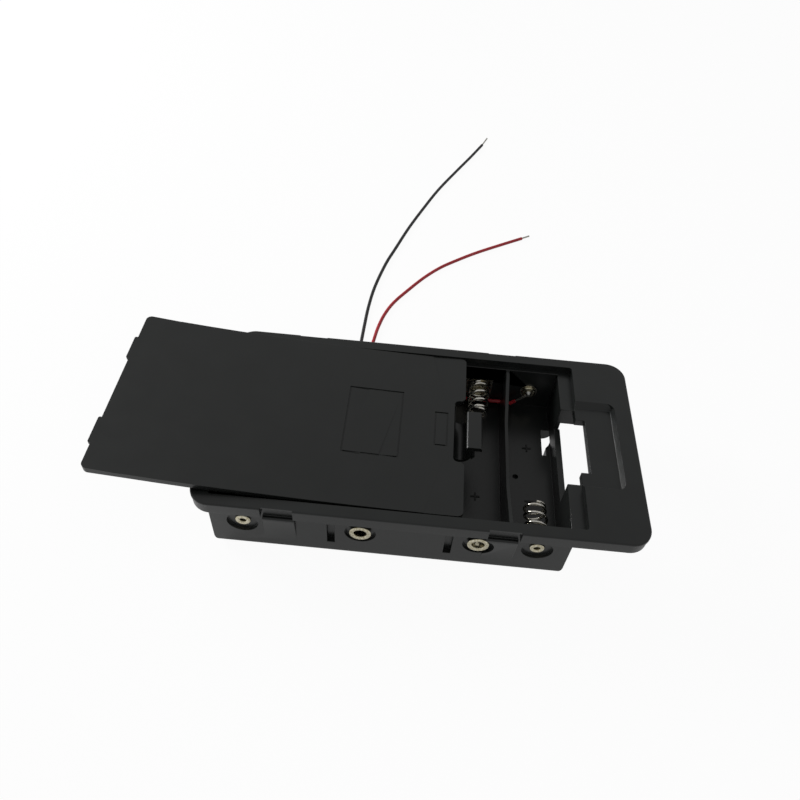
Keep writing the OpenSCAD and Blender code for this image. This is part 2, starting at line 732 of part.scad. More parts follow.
module minus_tag() {
    color(NICKEL) difference() {
        block([bay_x(1) - strip_reach, bay_y - strip_t, contact_z - strip_h / 2],
            [bay_x(1) + bay_w / 2 - 0.4, bay_y, contact_z + strip_h / 2]);
        on_wall(bay_x(1), contact_z, FAR) cylinder(r = SMALL_TUBE + eyelet_fit, h = 9);
    }
}

// Solder ring of the plus lead, under the head of its eyelet.
module plus_tag() {
    color(NICKEL) on_wall(bay_x(6), contact_z, FAR) translate([0, 0, long_wall]) difference() {
        cylinder(r = 2.6, h = washer_t);
        translate([0, 0, -1]) cylinder(r = SMALL_TUBE + eyelet_fit, h = 3);
    }
}

module solder_dome(r) {
    intersection() {
        sphere(r);
        translate([-r, -r, 0]) cube([2 * r, 2 * r, r]);
    }
}

module plus_solder() {
    color(TIN) {
        on_wall(bay_x(6), contact_z, FAR) translate([0, 0, strip_face + 0.7]) solder_dome(1.2);
        bar(plus_blob, plus_wire_start, strand_d);
    }
}

module minus_solder() {
    color(TIN) {
        translate(minus_pad) rotate([90, 0, 0]) solder_dome(1.1);
        bar(minus_blob, minus_wire_start, strand_d);
    }
}

// --- Leads ---

// An insulated wire from a solder joint, through a partition, along the far wall and out of the slot.
module inner_wire(start, dir, gap_x, z) {
    from = gap_x > exit_x ? 1 : -1;
    bend = lead_d;
    tube([start, start + 1.8 * dir, [gap_x, wire_y, z], [exit_x + from * bend, wire_y, z],
        [exit_x + from * 0.3 * bend, wire_y + 0.3 * bend, z], [exit_x, wire_y + bend, z],
        [exit_x, body_y, z]], lead_d, dir, [0, 1, 0]);
}

module red_inner_wire() {
    color(RED_PVC) inner_wire(plus_wire_start, unit(plus_wire_start - plus_blob),
        bay_x(5) + pitch / 2, red_z);
}

module black_inner_wire() {
    color(BLACK_PVC) inner_wire(minus_wire_start, unit(minus_wire_start - minus_blob),
        bay_x(1) + pitch / 2, black_z);
}

// A free lead from the slot along its route, ending in line with its tip.
module free_lead(route, z, tip) {
    path = smooth(concat([[exit_x, body_y, z]], route), 2);
    tube(path, lead_d, [0, 1, 0], tip - route[len(route) - 1]);
}

module black_lead() {
    color(BLACK_PVC) free_lead(BLACK_ROUTE, black_z, BLACK_TIP);
}

module red_lead() {
    color(RED_PVC) free_lead(RED_ROUTE, red_z, RED_TIP);
}

module black_tip() {
    color(TIN) bar(BLACK_ROUTE[len(BLACK_ROUTE) - 1], BLACK_TIP, strand_d);
}

module red_tip() {
    color(TIN) bar(RED_ROUTE[len(RED_ROUTE) - 1], RED_TIP, strand_d);
}

housing();
lid();
spring(1);  // spring_1
spring(2);  // spring_2
spring(3);  // spring_3
spring(4);  // spring_4
spring(5);  // spring_5
spring(6);  // spring_6
plus_eyelet(1, NEAR, SMALL_TUBE);  // near_eyelet_1
plus_eyelet(3, NEAR, LARGE_TUBE);  // near_eyelet_3
plus_eyelet(5, NEAR, LARGE_TUBE);  // near_eyelet_5
spring_eyelet(6, NEAR);  // near_eyelet_6
spring_eyelet(1, FAR);  // far_eyelet_1
plus_eyelet(2, FAR, LARGE_TUBE);  // far_eyelet_2
spring_eyelet(3, FAR);  // far_eyelet_3
plus_eyelet(4, FAR, LARGE_TUBE);  // far_eyelet_4
spring_eyelet(5, FAR);  // far_eyelet_5
plus_eyelet(6, FAR, SMALL_TUBE);  // far_eyelet_6
strip(1, NEAR, [SMALL_TUBE, 0]);  // near_strip_12
strip(3, NEAR, [LARGE_TUBE, 0]);  // near_strip_34
strip(5, NEAR, [LARGE_TUBE, SMALL_TUBE]);  // near_strip_56
strip(2, FAR, [LARGE_TUBE, SMALL_TUBE]);  // far_strip_23
strip(4, FAR, [LARGE_TUBE, SMALL_TUBE]);  // far_strip_45
minus_tag();
plus_tag();
minus_solder();
plus_solder();
black_inner_wire();
red_inner_wire();
black_lead();
red_lead();
black_tip();
red_tip();
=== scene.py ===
"""Looks of a panel-mount holder for six round cells, with its snap-in lid lying askew on it.

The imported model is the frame: springs and eyelets take their places from the boxes of their CAD nodes. Wires,
solder joints and bay marks repeat the CAD model's own points.
Lengths in this file are millimetres unless a name says otherwise, and mm() turns them to metres.
"""

from __future__ import annotations

import logging
import math
import random
from dataclasses import dataclass
from enum import Enum
from typing import Iterable, Sequence

import bmesh
import bpy
from mathutils import Matrix, Vector

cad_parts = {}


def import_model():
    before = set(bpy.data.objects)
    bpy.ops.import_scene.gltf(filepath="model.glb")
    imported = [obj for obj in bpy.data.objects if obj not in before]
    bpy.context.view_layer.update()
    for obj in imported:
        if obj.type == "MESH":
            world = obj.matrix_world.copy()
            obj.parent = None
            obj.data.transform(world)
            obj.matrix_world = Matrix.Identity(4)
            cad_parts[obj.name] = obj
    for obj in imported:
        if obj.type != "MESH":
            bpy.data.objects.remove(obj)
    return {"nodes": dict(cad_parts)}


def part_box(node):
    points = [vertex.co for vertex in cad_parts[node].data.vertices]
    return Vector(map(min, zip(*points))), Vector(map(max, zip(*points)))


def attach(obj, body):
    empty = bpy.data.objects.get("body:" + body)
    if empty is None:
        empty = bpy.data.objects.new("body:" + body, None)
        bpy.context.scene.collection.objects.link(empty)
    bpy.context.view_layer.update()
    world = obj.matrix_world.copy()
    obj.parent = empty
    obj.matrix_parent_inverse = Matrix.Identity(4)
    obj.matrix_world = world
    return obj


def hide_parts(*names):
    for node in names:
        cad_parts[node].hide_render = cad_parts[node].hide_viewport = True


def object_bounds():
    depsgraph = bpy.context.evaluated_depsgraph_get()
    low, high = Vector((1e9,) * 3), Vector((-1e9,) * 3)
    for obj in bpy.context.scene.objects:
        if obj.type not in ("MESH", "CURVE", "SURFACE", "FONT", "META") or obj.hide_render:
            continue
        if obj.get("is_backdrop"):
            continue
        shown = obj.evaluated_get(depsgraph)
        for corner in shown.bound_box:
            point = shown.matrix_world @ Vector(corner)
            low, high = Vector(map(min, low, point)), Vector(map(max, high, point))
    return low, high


LOG = logging.getLogger("holder")
ROOT = "root"
NOISE_ROUGHNESS = 0.55  # how strong the finer layers of every noise are
Point = tuple[float, float, float]


class Side(Enum):
    """The long wall that a contact sits on."""

    NEAR = -1
    FAR = 1


def mm(value: float) -> float:
    """Turns millimetres to metres."""
    return value / 1000


def at(point: Sequence[float]) -> Vector:
    """Turns a point in millimetres to a vector in metres."""
    return Vector([mm(v) for v in point])


def colour(hex_code: str) -> tuple[float, float, float, float]:
    """Turns an sRGB hex colour to linear RGBA.

    Args:
        hex_code: six hex digits after a hash.

    Returns:
        Red, green, blue and alpha, linear, from 0 to 1.
    """
    parts = [int(hex_code[i : i + 2], 16) / 255 for i in (1, 3, 5)]
    linear = [p / 12.92 if p <= 0.04045 else ((p + 0.055) / 1.055) ** 2.4 for p in parts]
    return (linear[0], linear[1], linear[2], 1.0)


# --- Materials ---


def add_node(
    tree: bpy.types.NodeTree, kind: str, values: dict | None = None, links: dict | None = None, **attributes
) -> bpy.types.Node:
    """Adds a shader node with its settings and links.

    Args:
        tree: the node tree that it joins.
        kind: the node's type name.
        values: socket name or number to the value set on it.
        links: socket name or number to the output socket that feeds it.
        **attributes: properties of the node itself.

    Returns:
        The new node.
    """
    node = tree.nodes.new(kind)
    for name, value in attributes.items():
        setattr(node, name, value)
    for name, value in (values or {}).items():
        node.inputs[name].default_value = value
    for name, source in (links or {}).items():
        tree.links.new(source, node.inputs[name])
    return node


@dataclass(frozen=True)
class Finish:
    """What every finish has: a name, the record's slot and a start for its node tree."""

    name: str
    slot: str

    def start(self) -> tuple[bpy.types.Material, bpy.types.NodeTree, bpy.types.Node, bpy.types.NodeSocket]:
        """Makes an empty material.

        Returns:
            The material, its tree, its surface shader and the object coordinates.
        """
        material = bpy.data.materials.new(self.name)
        material.use_nodes = True
        tree = material.node_tree
        tree.nodes.clear()
        shader = add_node(tree, "ShaderNodeBsdfPrincipled")
        add_node(tree, "ShaderNodeOutputMaterial", links={"Surface": shader.outputs["BSDF"]})
        where = add_node(tree, "ShaderNodeTexCoord").outputs["Object"]
        return material, tree, shader, where

    def material(self) -> bpy.types.Material:
        """Returns this finish's material, made once."""
        return bpy.data.materials.get(self.name) or self.build()

    def build(self) -> bpy.types.Material:
        """Makes the material. Each finish has its own."""
        raise NotImplementedError


def noise(
    tree: bpy.types.NodeTree, where: bpy.types.NodeSocket, size: float, detail: float = 3.0
) -> bpy.types.NodeSocket:
    """Adds a noise whose lumps are about a size in millimetres.

    Args:
        tree: the node tree.
        where: the coordinates it reads.
        size: the lumps' size in millimetres.
        detail: how many finer layers it has.

    Returns:
        The noise's value, from 0 to 1.
    """
    return add_node(
        tree,
        "ShaderNodeTexNoise",
        {"Scale": 1 / mm(size), "Detail": detail, "Roughness": NOISE_ROUGHNESS},
        {"Vector": where},
    ).outputs["Fac"]


def spread(
    tree: bpy.types.NodeTree,
    value: bpy.types.NodeSocket,
    low: float,
    high: float,
    to_low: float,
    to_high: float,
) -> bpy.types.NodeSocket:
    """Maps a value from one range to another, and clamps it.

    Args:
        tree: the node tree.
        value: the socket that it reads.
        low: where the old range starts.
        high: where the old range ends.
        to_low: what low becomes.
        to_high: what high becomes.

    Returns:
        The mapped value.
    """
    return add_node(
        tree,
        "ShaderNodeMapRange",
        {"From Min": low, "From Max": high, "To Min": to_low, "To Max": to_high},
        {"Value": value},
    ).outputs["Result"]


def blend_colours(
    tree: bpy.types.NodeTree, factor: bpy.types.NodeSocket, first: str, second: str
) -> bpy.types.NodeSocket:
    """Mixes two hex colours by a factor.

    Args:
        tree: the node tree.
        factor: the mix, from 0 to 1.
        first: the colour at 0.
        second: the colour at 1.

    Returns:
        The mixed colour.
    """
    node = add_node(tree, "ShaderNodeMix", data_type="RGBA")
    node.inputs["A"].default_value = colour(first)
    node.inputs["B"].default_value = colour(second)
    tree.links.new(factor, node.inputs["Factor"])
    return node.outputs["Result"]


@dataclass(frozen=True)
class MouldedAbs(Finish):
    """Black ABS from a lightly sparked mould: satin, with a soft sheen and a grain hardly seen."""

    base: str = "#131514"
    pale: str = "#171a19"
    roughness: float = 0.3
    grain: float = 0.22  # the spark texture is finer; drawn this coarse so that it shows at all
    grain_depth: float = 0.012
    cloud: float = 9.0  # flow marks from filling the mould

    def build(self) -> bpy.types.Material:
        """Makes the satin black plastic."""
        material, tree, shader, where = self.start()
        cloud = noise(tree, where, self.cloud, 4.0)
        grain = noise(tree, where, self.grain, 2.0)
        tree.links.new(
            blend_colours(tree, spread(tree, cloud, 0.3, 0.7, 0, 1), self.base, self.pale),
            shader.inputs["Base Color"],
        )
        tree.links.new(
            spread(tree, cloud, 0.3, 0.7, self.roughness - 0.015, self.roughness + 0.02),
            shader.inputs["Roughness"],
        )
        bump = add_node(
            tree, "ShaderNodeBump", {"Strength": 0.35, "Distance": mm(self.grain_depth)}, {"Height": grain}
        )
        tree.links.new(bump.outputs["Normal"], shader.inputs["Normal"])
        shader.inputs["IOR"].default_value = 1.53
        return material


@dataclass(frozen=True)
class PlatedWire(Finish):
    """Bright nickel on drawn metal: mirror-like, with fine drawing marks and slight yellowing in the lows."""

    bright: str = "#d9d6cb"
    dull: str = "#a79f88"
    roughness: float = 0.16
    marks: float = 0.5

    def build(self) -> bpy.types.Material:
        """Makes the plated metal."""
        material, tree, shader, where = self.start()
        marks = noise(tree, where, self.marks, 3.0)
        tree.links.new(
            blend_colours(tree, spread(tree, marks, 0.35, 0.75, 0, 1), self.bright, self.dull),
            shader.inputs["Base Color"],
        )
        tree.links.new(
            spread(tree, marks, 0.3, 0.7, self.roughness - 0.05, self.roughness + 0.1),
            shader.inputs["Roughness"],
        )
        bump = add_node(tree, "ShaderNodeBump", {"Strength": 0.2, "Distance": mm(0.01)}, {"Height": marks})
        tree.links.new(bump.outputs["Normal"], shader.inputs["Normal"])
        shader.inputs["Metallic"].default_value = 1.0
        return material


@dataclass(frozen=True)
class Pvc(Finish):
    """Soft extruded PVC on a lead: smooth, with a faint waxy sheen and slight draw lines."""

    base: str = "#1a1a1b"
    worn: str = "#262627"
    roughness: float = 0.4

    def build(self) -> bpy.types.Material:
        """Makes the insulation."""
        material, tree, shader, where = self.start()
        patches = noise(tree, where, 6.0, 3.0)
        tree.links.new(
            blend_colours(tree, spread(tree, patches, 0.35, 0.7, 0, 1), self.base, self.worn),
            shader.inputs["Base Color"],
        )
        tree.links.new(
            spread(tree, patches, 0.3, 0.7, self.roughness - 0.06, self.roughness + 0.08),
            shader.inputs["Roughness"],
        )
        draw = noise(tree, where, 0.3, 2.0)
        bump = add_node(tree, "ShaderNodeBump", {"Strength": 0.15, "Distance": mm(0.02)}, {"Height": draw})
        tree.links.new(bump.outputs["Normal"], shader.inputs["Normal"])
        shader.inputs["IOR"].default_value = 1.5
        return material


BLACK_ABS = MouldedAbs("abs_satin_moulded", "black_abs")
LID_ABS = MouldedAbs("abs_satin_lid", "black_abs", base="#141615", pale="#161817", roughness=0.33)
# Painted shade: the signs are the housing's own black ABS, but their base is darker to stand in for the shade
# that their relief throws. Their higher roughness is the real matt finish.
PAINTED_SHADE_MARK_ABS = MouldedAbs("abs_matt_marks_painted_shade", "black_abs", base="#090a0a", pale="#0c0d0d", roughness=0.62)
# Painted light: the springs' nickel is paler than the strips' nickel, to stand in for the brighter light on the
# coils. Its lower roughness is real.
BRIGHTENED_SPRING_NICKEL = PlatedWire(
    "nickel_spring_wire_painted_bright", "nickel_plate", bright="#f4f2ec", dull="#cdc8b8", roughness=0.14
)
STRIP_NICKEL = PlatedWire("nickel_strip", "nickel_plate", roughness=0.28, marks=1.2)
EYELET_PLATE = PlatedWire(
    "plated_brass_eyelet", "plated_brass", bright="#e8e3cf", dull="#a3976c", roughness=0.2
)
SOLDER = PlatedWire("solder", "tin", bright="#d4d4d0", dull="#9d9b94", roughness=0.3, marks=0.35)
TINNED = PlatedWire("tinned_strands", "tin", bright="#dad8d0", dull="#a8a498", roughness=0.3, marks=0.2)
BLACK_PVC = Pvc("pvc_black", "black_pvc")
RED_PVC = Pvc("pvc_red", "red_pvc", base="#a8202a", worn="#bb303a", roughness=0.38)


# --- Mesh and curve helpers ---


def finish_piece(piece: bpy.types.Object, finish: Finish, *nodes: str) -> bpy.types.Object:
    """Dresses a new piece, lets it ride and hides the CAD nodes that it stands for.

    Args:
        piece: the new object.
        finish: its finish.
        *nodes: the CAD nodes that it replaces.

    Returns:
        The same object.
    """
    piece.data.materials.clear()
    piece.data.materials.append(finish.material())
    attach(piece, ROOT)
    if nodes:
        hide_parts(*nodes)
    LOG.info("%s: %s", piece.name, finish.name)
    return piece


def link_mesh(name: str, mesh_source: bmesh.types.BMesh, smooth: bool = True) -> bpy.types.Object:
    """Makes an object of a bmesh and frees it.

    Args:
        name: the piece's name.
        mesh_source: its shape.
        smooth: whether its faces shade smooth.

    Returns:
        The object, linked to the scene.
    """
    data = bpy.data.meshes.new(name)
    for face in mesh_source.faces:
        face.smooth = smooth
    mesh_source.to_mesh(data)
    mesh_source.free()
    piece = bpy.data.objects.new(name, data)
    bpy.context.scene.collection.objects.link(piece)
    return piece


def link_curve(
    name: str, runs: Iterable[Sequence[Vector]], diameter: float, round_steps: int = 3
) -> bpy.types.Object:
    """Makes a round wire along one or more runs of points.

    Args:
        name: the piece's name.
        runs: each run's points, in metres.
        diameter: the wire's diameter in metres.
        round_steps: the section's fineness.

    Returns:
        The curve object.
    """
    data = bpy.data.curves.new(name, "CURVE")
    data.dimensions = "3D"
    data.bevel_depth = diameter / 2
    data.bevel_resolution = round_steps
    data.use_fill_caps = True
    for run in runs:
        spline = data.splines.new("POLY")
        spline.points.add(len(run) - 1)
        for place, point in zip(spline.points, run):
            place.co = (point.x, point.y, point.z, 1.0)
        spline.use_smooth = True
    piece = bpy.data.objects.new(name, data)
    bpy.context.scene.collection.objects.link(piece)
    return piece


def spun(
    section: Sequence[tuple[float, float]], centre: Vector, inward: int, steps: int
) -> bmesh.types.BMesh:
    """Spins a closed section about an axis along Y.

    Args:
        section: radius and depth of each corner, in millimetres.
        centre: where the axis meets the outer face, in metres.
        inward: which way along Y depth grows.
        steps: how many steps go round.

    Returns:
        The closed shape, with its faces outwards.
    """
    shape = bmesh.new()
    ring = [shape.verts.new(at((radius, inward * depth, 0))) for radius, depth in section]
    edges = [shape.edges.new((a, b)) for a, b in zip(ring, ring[1:] + ring[:1])]
    bmesh.ops.spin(
        shape, geom=ring + edges, cent=(0, 0, 0), axis=(0, 1, 0), angle=math.tau, steps=steps, use_merge=True
    )
    bmesh.ops.remove_doubles(shape, verts=shape.verts, dist=mm(0.001))
    bmesh.ops.recalc_face_normals(shape, faces=shape.faces)
    bmesh.ops.translate(shape, verts=shape.verts, vec=centre)
    return shape


def smooth_route(points: Sequence[Vector], steps: int) -> list[Vector]:
    """Runs a smooth curve through points.

    Args:
        points: the points, in order.
        steps: how many steps each stretch gets.

    Returns:
        The finer points, ends included.
    """
    last = len(points) - 1
    route: list[Vector] = []
    for i in range(last):
        before, a, b, after = points[max(i - 1, 0)], points[i], points[i + 1], points[min(i + 2, last)]
        for j in range(steps):
            t = j / steps
            route.append(
                0.5 * (2 * a + (b - before) * t + (2 * before - 5 * a + 4 * b - after) * t * t
                       + (3 * a - before - 3 * b + after) * t * t * t)
            )
    return route + [points[last].copy()]


# --- Moulded parts ---


@dataclass
class MouldedPart:
    """A moulding that keeps its CAD shape and gets the small rounded edges of a real mould."""

    node: str
    name: str
    finish: Finish
    flat_angle: float = 0.3  # degrees between facets that count as one face
    sharp_angle: float = 34.0  # degrees between faces that make an edge
    edge_radius: float = 0.16
    edge_room: float = 0.42  # shortest neighbour of an edge that gets rounded

    def build(self) -> bpy.types.Object:
        """Copies the CAD node, merges its triangles, rounds its edges and dresses it.

        Returns:
            The new piece.
        """
        shape = bmesh.new()
        shape.from_mesh(bpy.data.objects[self.node].data)
        bmesh.ops.remove_doubles(shape, verts=shape.verts, dist=mm(0.002))
        bmesh.ops.dissolve_limit(
            shape,
            angle_limit=math.radians(self.flat_angle),
            use_dissolve_boundaries=False,
            verts=shape.verts,
            edges=shape.edges,
        )
        bmesh.ops.bevel(
            shape,
            geom=[edge for edge in shape.edges if self.is_roomy(edge)],
            offset=mm(self.edge_radius),
            offset_type="OFFSET",
            affect="EDGES",
            segments=2,
            profile=0.5,
            material=-1,
            clamp_overlap=False,
        )
        for edge in shape.edges:
            edge.smooth = not self.is_sharp(edge)
        piece = link_mesh(self.name, shape)
        weighted = piece.modifiers.new("flat_faces_stay_flat", "WEIGHTED_NORMAL")
        weighted.keep_sharp = True
        weighted.weight = 100
        return finish_piece(piece, self.finish, self.node)

    def is_sharp(self, edge: bmesh.types.BMEdge) -> bool:
        """Tells whether two faces meet at an edge in a real corner."""
        return len(edge.link_faces) == 2 and edge.calc_face_angle(0) > math.radians(self.sharp_angle)

    def is_roomy(self, edge: bmesh.types.BMEdge) -> bool:
        """Tells whether a sharp edge and its neighbours are long enough to be rounded."""
        if not self.is_sharp(edge):
            return False
        around = {near for vert in edge.verts for near in vert.link_edges}
        return all(near.calc_length() > mm(self.edge_room) for near in around)


# --- Contacts ---


@dataclass
class CoilSpring:
    """A conical contact spring, wound on from its base turn to its tip."""

    bay: int
    side: Side
    wire: float = 0.8
    taper: float = 0.5
    start_angle: float = 90.0
    steps: int = 28
    turn_heights: tuple[float, ...] = (0.0, 0.08, 0.36, 0.66, 0.91, 1.0)

    def path(self) -> list[Vector]:
        """Returns the wire's centre line, in metres."""
        low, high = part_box(f"spring_{self.bay}")
        outer = (high.z - low.z) / 2
        radius = outer - mm(self.wire) / 2
        centre = Vector((high.x - outer, low.y if self.side is Side.NEAR else high.y, (low.z + high.z) / 2))
        lean = (low.x + outer) - (high.x - outer)
        length = (high.y - low.y) - mm(self.wire)
        inward = -self.side.value
        turns = len(self.turn_heights) - 1
        points = []
        for i in range(turns * self.steps + 1):
            turn = i / self.steps
            whole = min(int(turn), turns - 1)
            share = turn - whole
            share = self.turn_heights[whole] * (1 - share) + self.turn_heights[whole + 1] * share
            angle = math.radians(self.start_angle) + 2 * math.pi * turn
            reach = radius - mm(self.taper) * share
            points.append(
                centre
                + Vector((lean * share + reach * math.cos(angle),
                          inward * (mm(self.wire) / 2 + length * share),
                          reach * math.sin(angle)))
            )
        return points

    def build(self) -> bpy.types.Object:
        """Makes the spring in place of its CAD node."""
        piece = link_curve(f"coil_{self.bay}", [self.path()], mm(self.wire), 4)
        return finish_piece(piece, BRIGHTENED_SPRING_NICKEL, f"spring_{self.bay}")


@dataclass
class Eyelet:
    """A rolled eyelet through a long wall, with its rim in a round pocket and its flange on the strip."""

    node: str
    side: Side
    tube: float  # outer radius
    rim: float  # radius of the rolled rim
    head: float  # from the rim's crown down to the pocket's floor
    wall: float = 0.45
    collar: float = 0.25
    flange_t: float = 0.75
    steps: int = 44

    def profile(self, length: float, flange: float) -> list[tuple[float, float]]:
        """Returns the section as radius and depth from the crown, in millimetres.

        Args:
            length: from the rim's crown to the inner end.
            flange: radius of the inner flange.
        """
        bore = self.tube - self.wall
        middle, half = (bore + self.rim) / 2, (self.rim - bore) / 2
        crown = [
            (middle - half * math.cos(math.radians(a)), 0.38 * (1 - math.sin(math.radians(a))))
            for a in range(0, 181, 20)
        ]
        neck = self.tube + self.collar
        return [
            (bore, length),
            (bore, 0.8),
            *crown,
            (self.rim - 0.12, 0.56),
            (neck, 0.58),
            (neck, self.head),
            (self.tube, self.head),
            (self.tube, length - self.flange_t),
            (flange - 0.12, length - self.flange_t),
            (flange, length - self.flange_t + 0.14),
            (flange, length - 0.2),
            (flange - 0.2, length),
        ]

    def build(self) -> bpy.types.Object:
        """Spins the section about the eyelet's axis, in place of its CAD node.

        Returns:
            The eyelet.
        """
        low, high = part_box(self.node)
        length, flange = (high.y - low.y) * 1000, (high.x - low.x) * 500
        face = low.y if self.side is Side.NEAR else high.y
        centre = Vector(((low.x + high.x) / 2, face, (low.z + high.z) / 2))
        shape = spun(self.profile(length, flange), centre, -self.side.value, self.steps)
        return finish_piece(link_mesh(self.node + "_rolled", shape), EYELET_PLATE, self.node)


@dataclass
class SolderJoint:
    """A blob of solder with the bare strands of an inner wire fanned into it."""

    pole: str
    centre: Point  # middle of the blob's foot
    start: Point  # where the insulation ends
    radius: float
    strand: float = 0.28
    spread: float = 0.3

    def build(self) -> None:
        """Makes the blob and the strands."""
        r = self.radius
        section = [
            (0.02, 0.0), (1.0, 0.0), (0.94, 0.16), (0.84, 0.4), (0.66, 0.68),
            (0.4, 0.88), (0.16, 0.96), (0.02, 0.97),
        ]  # in shares of the radius
        shape = spun([(r * a, r * b) for a, b in section], at(self.centre), -1, 28)
        slump = random.Random(self.pole)
        for vert in shape.verts:
            vert.co += at((slump.uniform(-0.03, 0.03), 0, slump.uniform(-0.03, 0.03)))
        bmesh.ops.smooth_vert(shape, verts=shape.verts, factor=0.4, use_axis_x=True, use_axis_z=True)
        finish_piece(link_mesh(f"{self.pole}_solder_blob", shape), SOLDER, f"{self.pole}_solder")
        inside = at(self.centre) - at((0, 0.45 * r, 0))
        cut = at(self.start)
        along = inside - cut
        side = along.cross(Vector((0, 1, 0))).normalized()
        runs = []
        for k in (-1, 0, 1):
            run = []
            for step in range(11):
                share = step / 10
                bow = mm(self.spread) * k * math.sin(math.pi * share) + mm(0.1) * k * (1 - share)
                run.append(cut + along * share + side * bow - Vector((0, mm(0.1) * (k % 2) * share, 0)))
            runs.append(run)
        strands = link_curve(f"{self.pole}_solder_strands", runs, mm(self.strand), 2)
        finish_piece(strands, TINNED)


@dataclass
class InnerWire:
    """An insulated wire from a solder joint along the far wall to the slot that the leads leave by."""

    name: str
    finish: Finish
    route: tuple[Point, ...]
    diameter: float = 1.2

    def build(self) -> bpy.types.Object:
        """Makes the wire in place of its CAD node."""
        points = [at(p) for p in self.route]
        wire = link_curve(f"{self.name}_inner_insulation", [points], mm(self.diameter), 5)
        return finish_piece(wire, self.finish, f"{self.name}_inner_wire")


# Tube radius, rim radius and head of the three kinds of eyelet: a small one, one that holds a spring, a large one
SMALL = (1.25, 2.1, 0.6)
SPRUNG = (1.25, 2.0, 0.6)
LARGE = (2.1, 2.95, 1.3)
EYELETS = (
    Eyelet("near_eyelet_1", Side.NEAR, *SMALL),
    Eyelet("near_eyelet_3", Side.NEAR, *LARGE),
    Eyelet("near_eyelet_5", Side.NEAR, *LARGE),
    Eyelet("near_eyelet_6", Side.NEAR, *SPRUNG),
    Eyelet("far_eyelet_1", Side.FAR, *SPRUNG),
    Eyelet("far_eyelet_2", Side.FAR, *LARGE),
    Eyelet("far_eyelet_3", Side.FAR, *SPRUNG),
    Eyelet("far_eyelet_4", Side.FAR, *LARGE),
    Eyelet("far_eyelet_5", Side.FAR, *SPRUNG),
    Eyelet("far_eyelet_6", Side.FAR, *SMALL),
)
JOINTS = (
    SolderJoint("plus", (38.75, 26.14, 11.2), (35.2, 25.5, 7.8), 1.2),
    SolderJoint("minus", (-33.45, 26.8, 9.7), (-32.65, 26.2, 8.0), 1.08),
)
INNER_WIRES = (
    InnerWire(
        "red", RED_PVC,
        ((35.2, 25.5, 7.8), (33.9, 25.39, 6.56), (31, 26.15, 5.95), (-14.3, 26.15, 5.95),
         (-15.14, 26.51, 5.95), (-15.5, 27.35, 5.95), (-15.5, 29.2, 5.95)),
    ),
    InnerWire(
        "black", BLACK_PVC,
        ((-32.65, 26.2, 8.0), (-31.88, 26.1, 6.37), (-31, 26.15, 7.2), (-16.7, 26.15, 7.2),
         (-15.86, 26.51, 7.2), (-15.5, 27.35, 7.2), (-15.5, 29.2, 7.2)),
    ),
)


# --- Marks in the bays ---


@dataclass
class BayMark:
    """Raised pole signs on a bay's floor, that show which way the cell goes."""

    bay: int
    plus_side: Side
    pitch: float = 15.5
    floor_z: float = 4.4
    line: float = 0.5
    relief: float = 0.2
    sunk: float = 0.05
    sign: float = 2.6
    sign_place: float = 9.6  # from the middle of the bay

    def build(self) -> bpy.types.Object:
        """Makes the two signs as one piece."""
        turn = self.plus_side.value
        h, t = self.sign / 2, self.line * 0.5
        plus = [
            (t, -h), (t, -t), (h, -t), (h, t), (t, t), (t, h),
            (-t, h), (-t, t), (-h, t), (-h, -t), (-t, -t), (-t, -h),
        ]
        minus = [(-h, -t), (h, -t), (h, t), (-h, t)]
        shape = bmesh.new()
        for sign, y in ((plus, self.sign_place), (minus, -self.sign_place)):
            shape.faces.new([shape.verts.new(at((a, y + b, 0))) for a, b in sign])
        raised = bmesh.ops.extrude_face_region(shape, geom=shape.faces[:])["geom"]
        tops = [item for item in raised if isinstance(item, bmesh.types.BMVert)]
        bmesh.ops.translate(shape, verts=tops, vec=at((0, 0, self.relief + self.sunk)))
        bmesh.ops.scale(shape, verts=shape.verts, vec=(1, turn, 1))
        bmesh.ops.recalc_face_normals(shape, faces=shape.faces)
        place = at(((self.bay - 3.5) * self.pitch, 0, self.floor_z - self.sunk))
        bmesh.ops.translate(shape, verts=shape.verts, vec=place)
        return finish_piece(link_mesh(f"bay_mark_{self.bay}", shape, False), PAINTED_SHADE_MARK_ABS)


# --- Leads ---


@dataclass
class FreeLead:
    """A thin lead that lies on the table from its slot to its tinned end."""

    name: str
    finish: Finish
    start: Point
    route: tuple[Point, ...]
    tip: Point
    diameter: float = 1.2
    strand: float = 0.26

    def build(self) -> None:
        points = smooth_route([at(self.start)] + [at(p) for p in self.route], 4)
        lead = link_curve(f"{self.name}_insulation", [points], mm(self.diameter), 5)
        finish_piece(lead, self.finish, f"{self.name}_lead")
        strands = self.strands(points[-1], at(self.tip))
        at(self.start)

    def strands(self, start: Vector, end: Vector) -> bpy.types.Object:
        """Makes the bundle of tinned strands at the lead's end.

        Args:
            start: the centre of the cut insulation.
            end: where the strands end.

        Returns:
            The bundle.
        """
        along = end - start
        side = along.cross(Vector((0, 0, 1))).normalized()
        up = side.cross(along).normalized()
        runs = []
        for k in range(7):
            reach = 0.0 if k == 0 else mm(self.strand) * 0.8
            run = []
            for step in range(9):
                share = step / 8
                angle = math.tau * (k / 6 + 0.6 * share)
                run.append(start + along * share + reach * (side * math.cos(angle) + up * math.sin(angle)))
            runs.append(run)
        bundle = link_curve(f"{self.name}_strands", runs, mm(self.strand), 2)
        return finish_piece(bundle, TINNED, f"{self.name}_tip")


